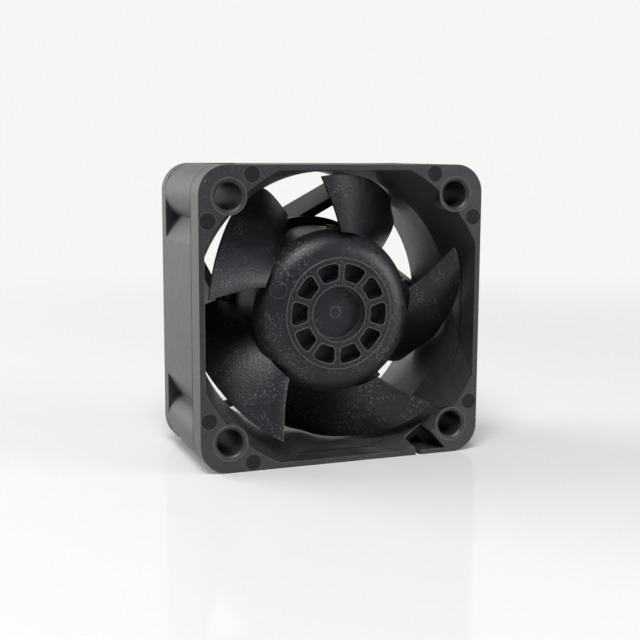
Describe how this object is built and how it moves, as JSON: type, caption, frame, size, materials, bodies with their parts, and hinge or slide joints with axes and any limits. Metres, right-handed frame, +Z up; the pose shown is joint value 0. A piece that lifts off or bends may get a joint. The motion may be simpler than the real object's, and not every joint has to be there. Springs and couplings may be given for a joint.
{
  "type": "axial cooling fan",
  "caption": "Small square axial cooling fan with a flared intake, bladed rotor on ball bearings, straight raked rear struts and corner mounting holes.",
  "frame": {"origin": "centre of the fan's frame, on the spin axis, half way between the intake and outlet faces", "axes": "+Y along the spin axis, the way the air flows, from the intake face to the outlet face; +Z up; +X to the right looking into the intake"},
  "size_m": [0.04, 0.02, 0.04],
  "materials": {
    "frame_plastic": "matte moulded glass-filled plastic, charcoal",
    "impeller_plastic": "matte moulded glass-filled plastic, charcoal",
    "brass": "turned",
    "lamination_steel": "stamped sheets in a stack",
    "insulator_plastic": "natural moulded nylon",
    "copper_wire": "enamelled copper wire, dense metal stands for it",
    "pin_steel": "tinned",
    "board_green": "solder mask over glass laminate",
    "chip_black": "moulded package",
    "capacitor_tan": "ceramic",
    "bearing_steel": "ground",
    "ball_steel": "polished",
    "cage_steel": "stamped",
    "yoke_steel": "drawn",
    "magnet": "plastic-bonded ferrite",
    "shaft_steel": "ground",
    "clip_steel": "spring steel"
  },
  "bodies": {
    "housing": {"frame": "frame_plastic", "bearing_tube": "brass", "stator_core": "lamination_steel", "insulator_front": "insulator_plastic", "insulator_rear": "insulator_plastic", "windings": "copper_wire", "terminal_pins": "pin_steel", "circuit_board": "board_green", "driver_chip": "chip_black", "hall_sensor": "chip_black", "board_capacitors": "capacitor_tan", "board_resistors": "chip_black", "front_bearing_outer": "bearing_steel", "rear_bearing_outer": "bearing_steel", "front_bearing_shields": "bearing_steel", "rear_bearing_shields": "bearing_steel"},
    "rotor": {"impeller": "impeller_plastic", "rotor_yoke": "yoke_steel", "magnet_ring": "magnet", "hub_bushing": "brass", "shaft": "shaft_steel", "shaft_washer": "shaft_steel", "retaining_ring": "clip_steel", "preload_spring": "clip_steel", "front_bearing_inner": "bearing_steel", "rear_bearing_inner": "bearing_steel"},
    "front_ball_set": {"front_bearing_balls": "ball_steel", "front_bearing_cage": "cage_steel"},
    "rear_ball_set": {"rear_bearing_balls": "ball_steel", "rear_bearing_cage": "cage_steel"}
  },
  "joints": [
    {"name": "rotor_spin", "type": "hinge", "parent": "housing", "child": "rotor", "pos_m": [0, 0, 0], "axis": [0, -1, 0], "continuous": true},
    {"name": "front_ball_roll", "type": "hinge", "parent": "housing", "child": "front_ball_set", "pos_m": [0, 0, 0], "axis": [0, -1, 0], "continuous": true},
    {"name": "rear_ball_roll", "type": "hinge", "parent": "housing", "child": "rear_ball_set", "pos_m": [0, 0, 0], "axis": [0, -1, 0], "continuous": true}
  ],
  "couplings": [
    {"joint": "front_ball_roll", "follows": "rotor_spin", "ratio": 0.4},
    {"joint": "rear_ball_roll", "follows": "rotor_spin", "ratio": 0.4}
  ]
}
